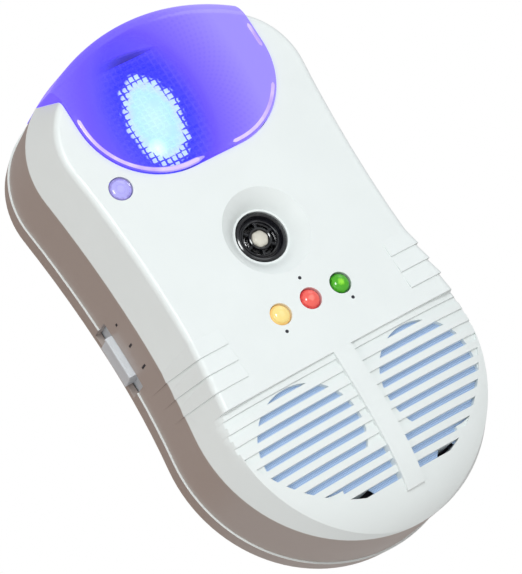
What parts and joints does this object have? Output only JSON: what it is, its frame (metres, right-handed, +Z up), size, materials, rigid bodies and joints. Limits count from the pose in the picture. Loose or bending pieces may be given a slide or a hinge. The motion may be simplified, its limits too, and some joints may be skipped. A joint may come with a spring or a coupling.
{
  "type": "ultrasonic pest repeller",
  "caption": "Plug-in ultrasonic pest repeller with a night-light cap, a dished transducer, indicator lamps, louvred sound grilles, a side slide switch and flat plug blades.",
  "frame": {"origin": "on the flat back face, midway between the two plug blades", "axes": "+Z up along the casing's length, +Y out of the back along the plug blades, front faces -Y, +X to the right seen from the front"},
  "size_m": [0.072, 0.0576, 0.1307],
  "materials": {
    "shell_white": "fine satin moulded plastic",
    "lens_violet": "translucent tinted cap",
    "reflector_white": "bright moulded plastic",
    "board_green": "solder-masked glass laminate",
    "led_white": "clear epoxy lamp",
    "ring_black": "polished black",
    "cone_metal": "turned",
    "base_black": "moulded",
    "sensor_lilac": "frosted window",
    "photocell_ceramic": "coated ceramic",
    "led_yellow": "diffused lamp",
    "led_red": "diffused lamp",
    "led_green": "diffused lamp",
    "post_metal": "tinned",
    "screen_blue": "woven dust screen",
    "foam_grey": "soft foam",
    "speaker_metal": "spun disc in a plastic cup",
    "transformer_tape": "wound with tape",
    "capacitor_sleeve": "shrink sleeve",
    "film_red": "dipped",
    "chip_black": "moulded",
    "coil_copper": "enamelled wire",
    "module_blue": "potted",
    "needle_steel": "ground",
    "knob_grey": "satin moulded plastic",
    "switch_black": "moulded",
    "blade_brass": "nickel-flashed",
    "insulator_cream": "moulded",
    "fuse_ceramic": "glazed",
    "screw_steel": "zinc plated",
    "plate_silver": "blank label"
  },
  "bodies": {
    "casing": {"front_cover": "shell_white", "rear_housing": "shell_white", "nightlight_lens": "lens_violet", "nightlight_reflector": "reflector_white", "nightlight_board": "board_green", "nightlight_leds": "led_white", "transducer_ring": "ring_black", "transducer_cone": "cone_metal", "transducer_base": "base_black", "sensor_window": "sensor_lilac", "photocell": "photocell_ceramic", "indicator_led_yellow": "led_yellow", "indicator_led_red": "led_red", "indicator_led_green": "led_green", "indicator_board": "board_green", "indicator_posts": "post_metal", "grille_screen_left": "screen_blue", "grille_screen_right": "screen_blue", "speaker_ring_left": "foam_grey", "speaker_ring_right": "foam_grey", "speaker_left": "speaker_metal", "speaker_right": "speaker_metal", "speaker_posts": "post_metal", "main_board": "board_green", "drive_transformer": "transformer_tape", "electrolytic_capacitors": "capacitor_sleeve", "film_capacitor": "film_red", "control_chip": "chip_black", "field_coil": "coil_copper", "rectifier_diodes": "chip_black", "ioniser_module": "module_blue", "ioniser_needle": "needle_steel", "slide_switch": "switch_black", "plug_blade_left": "blade_brass", "plug_blade_right": "blade_brass", "plug_insulator": "insulator_cream", "blade_terminal_left": "blade_brass", "blade_terminal_right": "blade_brass", "fuse": "fuse_ceramic", "case_screws": "screw_steel", "board_screws": "screw_steel", "rating_plate": "plate_silver"},
    "knob": {"switch_knob": "knob_grey"}
  },
  "joints": [
    {"name": "switch_slide", "type": "slide", "parent": "casing", "child": "knob", "axis": [0, 0, 1], "range_m": [-0.003, 0.003]}
  ]
}
